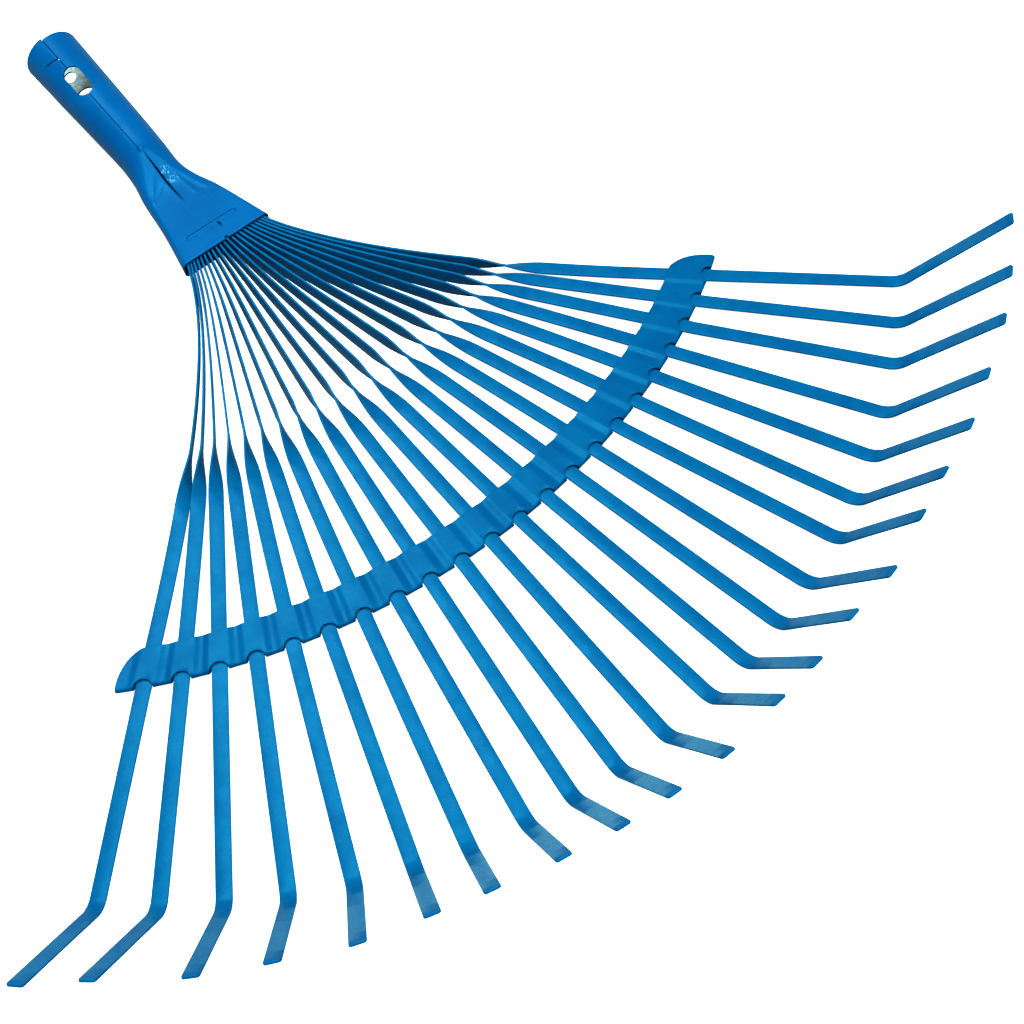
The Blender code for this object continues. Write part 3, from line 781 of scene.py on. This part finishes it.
def seam_groove():
    """A V-shaped groove along the tube where the rolled sheet's edges meet."""
    side, shoulder = SEAM_GAP / 2, SEAM_DEPTH / 10
    outline = ((0.0, -SEAM_DEPTH), (side, shoulder), (side, CUT_PAST), (-side, CUT_PAST), (-side, shoulder))
    points = []
    for y in (MOUTH_Y - CUT_PAST, TUBE_END_Y, SLIT_ENDS[0] + 1):
        tangent, _, outward, centre = tube_frame(y, SEAM_AZIMUTH)
        surface = socket_section(y)[0]
        for x, rise in outline:
            points.append(centre + x * tangent + (surface + rise) * outward)
    return points, ring_faces(3, len(outline)) + end_caps(3, len(outline))


def cut_socket(socket):
    """The seam of the rolled sheet, its slots, holes, slit and nicks."""
    inside, outside = MOUTH_RADIUS / 2, MOUTH_RADIUS + CUT_PAST
    step = [(0.0, MOUTH_STEP), (-outside, 0.0), (-outside, -CUT_PAST), (0.0, -CUT_PAST)]
    slot = obround(SLOT_ENDS[1] - SLOT_ENDS[0], SLOT_WIDTH)
    back_slot = obround(BACK_SLOT_ENDS[1] - BACK_SLOT_ENDS[0], BACK_SLOT_WIDTH)
    tick = [(x + TICK_SIZE[0] / 2, y - TICK_SLANT * (x > 0)) for x, y in rectangle(*TICK_SIZE)]
    slit = moved(lens_outline(*SLIT_ENDS, SLIT_WIDTH), SLIT_X, 0.0)
    bead_tick = moved(rectangle(*BEAD_TICK), BEAD_TICK_X, BEAD_Y + BEAD_TICK[1] / 2)
    nick = moved(rectangle(FRONT_NICK[0], 2 * FRONT_NICK[1]), FRONT_NICK_X, CLAMP_FRONT_Y)
    carve(socket, [
        seam_groove(),
        tube_prism(circle((0, 0), BACK_HOLE_RADIUS), -outside, -inside, BACK_HOLE_Y),
        tube_prism(back_slot, -outside, -inside, middle(BACK_SLOT_ENDS)),
        prism(bead_tick, CLAMP_HALF_HEIGHT - 2 * WALL, outside),
        prism(nick, CLAMP_HALF_HEIGHT - 2 * WALL, outside),
    ])
    carve(socket, [tube_prism(slot, inside, outside, middle(SLOT_ENDS)), prism(slit, 0.0, outside)])
    carve(socket, [tube_prism(tick, inside, outside, TICK_Y)])
    carve(socket, [tube_prism(step, 0.0, outside, MOUTH_Y)])


def make_socket(materials):
    """The rolled and flattened tube: painted outside and at its edges, bare zinc inside."""
    stations = socket_stations()
    rings = [socket_ring(y, 0.0, 0.0) for y in stations]
    rings += rim_arc(CLAMP_FRONT_Y, -1)
    inner_start = len(rings)
    rings += [socket_ring(y, WALL, 0.0) for y in stations[::-1]]
    inner_end = len(rings)
    rings += rim_arc(MOUTH_Y, 1)[::-1]
    faces = ring_faces(len(rings), RING_POINTS)
    last = (len(rings) - 1) * RING_POINTS
    faces += [(last + i, last + (i + 1) % RING_POINTS, (i + 1) % RING_POINTS, i) for i in range(RING_POINTS)]
    socket = mesh_object("rolled_tube", np.vstack(rings), faces, materials)
    for face in socket.data.polygons[inner_start * RING_POINTS : (inner_end - 1) * RING_POINTS]:
        face.material_index = 1
    cut_socket(socket)
    clear_wear_and_painted_light(socket)
    smooth_shading(socket, 35)
    return socket


# Materials.


class Wiring:
    """Adds nodes to a material and joins them."""

    def __init__(self, name):
        self.material = bpy.data.materials.new(name)
        self.material.use_nodes = True
        self.tree = self.material.node_tree
        self.shader = self.tree.nodes["Principled BSDF"]
        self.coordinates = self.add("ShaderNodeTexCoord").outputs["Object"]

    def add(self, kind, **settings):
        node = self.tree.nodes.new(kind)
        for name, value in settings.items():
            setattr(node, name, value)
        return node

    def join(self, source, socket):
        self.tree.links.new(source, socket)

    def noise(self, size_mm, detail=2.0, roughness=0.5, offset=0.0, lengthen=1.0):
        """Cloudy noise from 0 to 1, with blotches of about this size, drawn out along the tube's length."""
        shifted = self.add("ShaderNodeVectorMath", operation="ADD")
        shifted.inputs[1].default_value = (offset, offset, offset)
        self.join(self.coordinates, shifted.inputs[0])
        drawn_out = self.add("ShaderNodeVectorMath", operation="MULTIPLY")
        drawn_out.inputs[1].default_value = (1.0, 1 / lengthen, 1.0)
        self.join(shifted.outputs[0], drawn_out.inputs[0])
        node = self.add("ShaderNodeTexNoise")
        node.inputs["Scale"].default_value = 1 / (size_mm * MM)
        node.inputs["Detail"].default_value = detail
        node.inputs["Roughness"].default_value = roughness
        self.join(drawn_out.outputs[0], node.inputs["Vector"])
        return node.outputs["Fac"]

    def spread(self, value, low, high, to_low=0.0, to_high=1.0):
        """The value mapped from low..high to another range, with smooth ends."""
        node = self.add("ShaderNodeMapRange", interpolation_type="SMOOTHSTEP")
        for name, number in zip(("From Min", "From Max", "To Min", "To Max"), (low, high, to_low, to_high)):
            node.inputs[name].default_value = number
        self.join(value, node.inputs["Value"])
        return node.outputs["Result"]

    def times(self, one, two):
        node = self.add("ShaderNodeMath", operation="MULTIPLY")
        for socket, value in zip(node.inputs, (one, two)):
            if isinstance(value, (int, float)):
                socket.default_value = value
            else:
                self.join(value, socket)
        return node.outputs[0]

    def mix(self, factor, one, two):
        """A colour between two: each is a colour or an output."""
        node = self.add("ShaderNodeMix", data_type="RGBA")
        self.join(factor, node.inputs["Factor"])
        for socket, colour in zip((node.inputs[6], node.inputs[7]), (one, two)):
            if isinstance(colour, tuple):
                socket.default_value = (*colour, 1.0)
            else:
                self.join(colour, socket)
        return node.outputs[2]

    def bump(self, height, depth_mm, before=None):
        node = self.add("ShaderNodeBump")
        node.inputs["Distance"].default_value = depth_mm * MM
        self.join(height, node.inputs["Height"])
        if before:
            self.join(before, node.inputs["Normal"])
        return node.outputs["Normal"]

    def near(self, point, size_mm):
        """1 at a point of the datum's frame, fading to 0 at this distance from it."""
        offset = self.add("ShaderNodeVectorMath", operation="DISTANCE")
        self.join(self.coordinates, offset.inputs[0])
        offset.inputs[1].default_value = DATUM @ (Vector(point) * MM)
        return self.spread(offset.outputs["Value"], 0.4 * size_mm * MM, size_mm * MM, 1.0, 0.0)

    def attribute(self, name):
        return self.add("ShaderNodeAttribute", attribute_name=name).outputs["Fac"]


def enamel(name, offset, light, deep):
    """Glossy stoved enamel: cloudy depth, fine grain, orange peel, thinner paint along worn edges that also
    stands for a painted edge highlight, and a painted sheen on the hooks.
    """
    wiring = Wiring(name)
    cloud = wiring.spread(wiring.noise(22.0, 3.0, offset=offset), 0.35, 0.65)
    colour = wiring.mix(cloud, light, deep)
    grain = wiring.spread(wiring.noise(0.55, 3.0, 0.65), 0.50, 0.78, 0.0, 0.22)
    colour = wiring.mix(grain, colour, THIN_PAINT_AND_HIGHLIGHT_BLUE)
    # Thinner, lighter paint at worn edges and tips, which also serves as a painted edge highlight.
    thin = wiring.times(wiring.attribute("wear_and_edge_highlight"), wiring.spread(wiring.noise(5.0), 0.3, 0.7, 0.15, 0.6))
    colour = wiring.mix(thin, colour, THIN_PAINT_AND_HIGHLIGHT_BLUE)
    # Painted reflection: a mottled greyish sheen mixed in where the hooks' attribute says.
    sheen_mottle = wiring.spread(wiring.noise(1.2, 3.0, 0.6), 0.25, 0.75, 0.35, 0.75)
    colour = wiring.mix(wiring.times(wiring.attribute("painted_sheen"), sheen_mottle), colour, PAINTED_SHEEN_COLOUR)
    wiring.join(colour, wiring.shader.inputs["Base Color"])
    gloss = wiring.spread(wiring.noise(9.0, 4.0, 0.6, offset), 0.3, 0.7, 0.24, 0.40)
    wiring.join(gloss, wiring.shader.inputs["Roughness"])
    peel = wiring.bump(wiring.noise(2.2, 2.0), 0.035)
    wiring.join(wiring.bump(wiring.noise(0.4, 2.0), 0.006, peel), wiring.shader.inputs["Normal"])
    wiring.shader.inputs["Specular IOR Level"].default_value = GLOSS_LEVEL
    wiring.shader.inputs["Specular Tint"].default_value = (*GLOSS_TINT, 1.0)
    return wiring


def socket_enamel():
    """The same enamel, with painted glints where the sheet is crinkled beside the slit."""
    wiring = enamel("socket_enamel", 0.31, SOCKET_BLUE, SOCKET_DEEP_BLUE)
    colour_socket = wiring.shader.inputs["Base Color"]
    painted = colour_socket.links[0].from_socket
    # Painted glints: pale flecks of noise near the given points.
    glint_pattern = wiring.spread(wiring.noise(0.9, 4.0, 0.7, lengthen=3.0), 0.54, 0.62)
    for place in PAINTED_GLINT_AT:
        glints = wiring.times(wiring.near(place, PAINTED_GLINT_REACH), glint_pattern)
        painted = wiring.mix(glints, painted, PAINTED_GLINT)
    wiring.join(painted, colour_socket)
    return wiring.material


def galvanised():
    """Bare zinc inside the tube: matt spangles and grime, and painted shade that darkens it further in."""
    wiring = Wiring("galvanised_steel")
    spangle = wiring.add("ShaderNodeTexVoronoi")
    spangle.inputs["Scale"].default_value = 1 / (1.6 * MM)
    wiring.join(wiring.coordinates, spangle.inputs["Vector"])
    flake = wiring.spread(spangle.outputs["Distance"], 0.1, 0.8)
    colour = wiring.mix(flake, ZINC, DARK_ZINC)
    grime = wiring.spread(wiring.noise(3.0, 4.0, 0.7), 0.45, 0.7, 0.0, 0.6)
    grimy = wiring.mix(grime, colour, DARK_ZINC)
    # Painted shade: the zinc fades to near black further from the mouth.
    lit = wiring.near((0.0, MOUTH_Y, axis_height(MOUTH_Y)), ZINC_SHADE_FADE)
    wiring.join(wiring.mix(lit, SHADED_ZINC, grimy), wiring.shader.inputs["Base Color"])
    wiring.join(wiring.spread(wiring.noise(1.5), 0.3, 0.7, 0.35, 0.6), wiring.shader.inputs["Roughness"])
    wiring.join(wiring.bump(wiring.noise(0.8, 3.0), 0.03), wiring.shader.inputs["Normal"])
    return wiring.material


# Studio.


def make_floor():
    """A wide pale floor."""
    mesh = bpy.data.meshes.new("studio_floor")
    corners = [(x, y, 0.0) for x, y in rectangle(FLOOR_SIZE, FLOOR_SIZE)]
    mesh.from_pydata(corners, [], [(0, 1, 2, 3)])
    floor = bpy.data.objects.new("studio_floor", mesh)
    bpy.context.collection.objects.link(floor)
    wiring = Wiring("pale_paper")
    seen = wiring.add("ShaderNodeLightPath").outputs["Is Camera Ray"]
    wiring.join(wiring.mix(seen, FLOOR_BOUNCE, FLOOR_SEEN), wiring.shader.inputs["Base Color"])
    wiring.shader.inputs["Emission Color"].default_value = (1.0, 1.0, 1.0, 1.0)
    wiring.join(wiring.times(seen, FLOOR_GLOW), wiring.shader.inputs["Emission Strength"])
    wiring.shader.inputs["Roughness"].default_value = 0.9
    wiring.shader.inputs["Specular IOR Level"].default_value = 0.0
    mesh.materials.append(wiring.material)


def add_softbox(name, place, size, power):
    """A square area lamp at place, in metres, that faces the fan."""
    lamp = bpy.data.lights.new(name, "AREA")
    lamp.shape = "SQUARE"
    lamp.size = size
    lamp.energy = power
    lamp.color = LAMP_COLOUR
    obj = bpy.data.objects.new(name, lamp)
    obj.location = place
    obj.rotation_euler = (Vector(AIM) - Vector(place)).to_track_quat("-Z", "Y").to_euler()
    bpy.context.collection.objects.link(obj)


def make_studio():
    make_floor()
    add_softbox("overhead_box", *OVERHEAD_BOX)
    add_softbox("socket_side_box", *SOCKET_SIDE_BOX)
    make_air()
    bpy.context.scene.view_settings.view_transform = "Standard"


def make_air():
    """Surroundings that are white to the camera, and dimmer and cooler in what they throw onto the rake."""
    world = bpy.data.worlds.new("studio_air")
    world.use_nodes = True
    tree = world.node_tree
    around = tree.nodes["Background"]
    around.inputs["Color"].default_value = (*AIR_COLOUR, 1.0)
    around.inputs["Strength"].default_value = AIR_STRENGTH
    seen = tree.nodes.new("ShaderNodeBackground")
    seen.inputs["Color"].default_value = (1.0, 1.0, 1.0, 1.0)
    either = tree.nodes.new("ShaderNodeMixShader")
    path = tree.nodes.new("ShaderNodeLightPath")
    tree.links.new(path.outputs["Is Camera Ray"], either.inputs["Fac"])
    tree.links.new(around.outputs["Background"], either.inputs[1])
    tree.links.new(seen.outputs["Background"], either.inputs[2])
    tree.links.new(either.outputs["Shader"], tree.nodes["World Output"].inputs["Surface"])
    bpy.context.scene.world = world


def make_camera():
    """A camera that looks at the fan from its tips' side, high up, rolled a little."""
    level, drop = math.cos(VIEW_ELEVATION), math.sin(VIEW_ELEVATION)
    forward = Vector((-math.sin(VIEW_AZIMUTH) * level, math.cos(VIEW_AZIMUTH) * level, -drop))
    flat_right = forward.cross(Vector((0, 0, 1))).normalized()
    flat_up = flat_right.cross(forward)
    right = flat_right * math.cos(VIEW_ROLL) - flat_up * math.sin(VIEW_ROLL)
    turn = Matrix((right, right.cross(forward), -forward)).transposed().to_4x4()
    camera = bpy.data.objects.new("camera", bpy.data.cameras.new("camera"))
    camera.data.lens = LENS
    camera.data.clip_start = 0.01
    camera.matrix_world = Matrix.Translation((VIEW_TARGET - forward * VIEW_DISTANCE) * MM) @ turn
    bpy.context.collection.objects.link(camera)
    bpy.context.scene.camera = camera


DATUM = datum_matrix()


def add_piece(piece, node):
    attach(piece, "root")
    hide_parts(node)


def main():
    socket = make_socket([socket_enamel(), galvanised()])
    add_piece(socket, "socket")
    spreader = make_spreader([enamel("spreader_enamel", 0.17, BLUE, DEEP_BLUE).material])
    add_piece(spreader, "spreader")
    tine_enamel = enamel("tine_enamel", 0.0, BLUE, DEEP_BLUE).material
    for number in range(1, TINE_COUNT + 1):
        add_piece(make_tine(number, [tine_enamel]), f"tine_{number:02d}")
    make_studio()
    make_camera()


main()
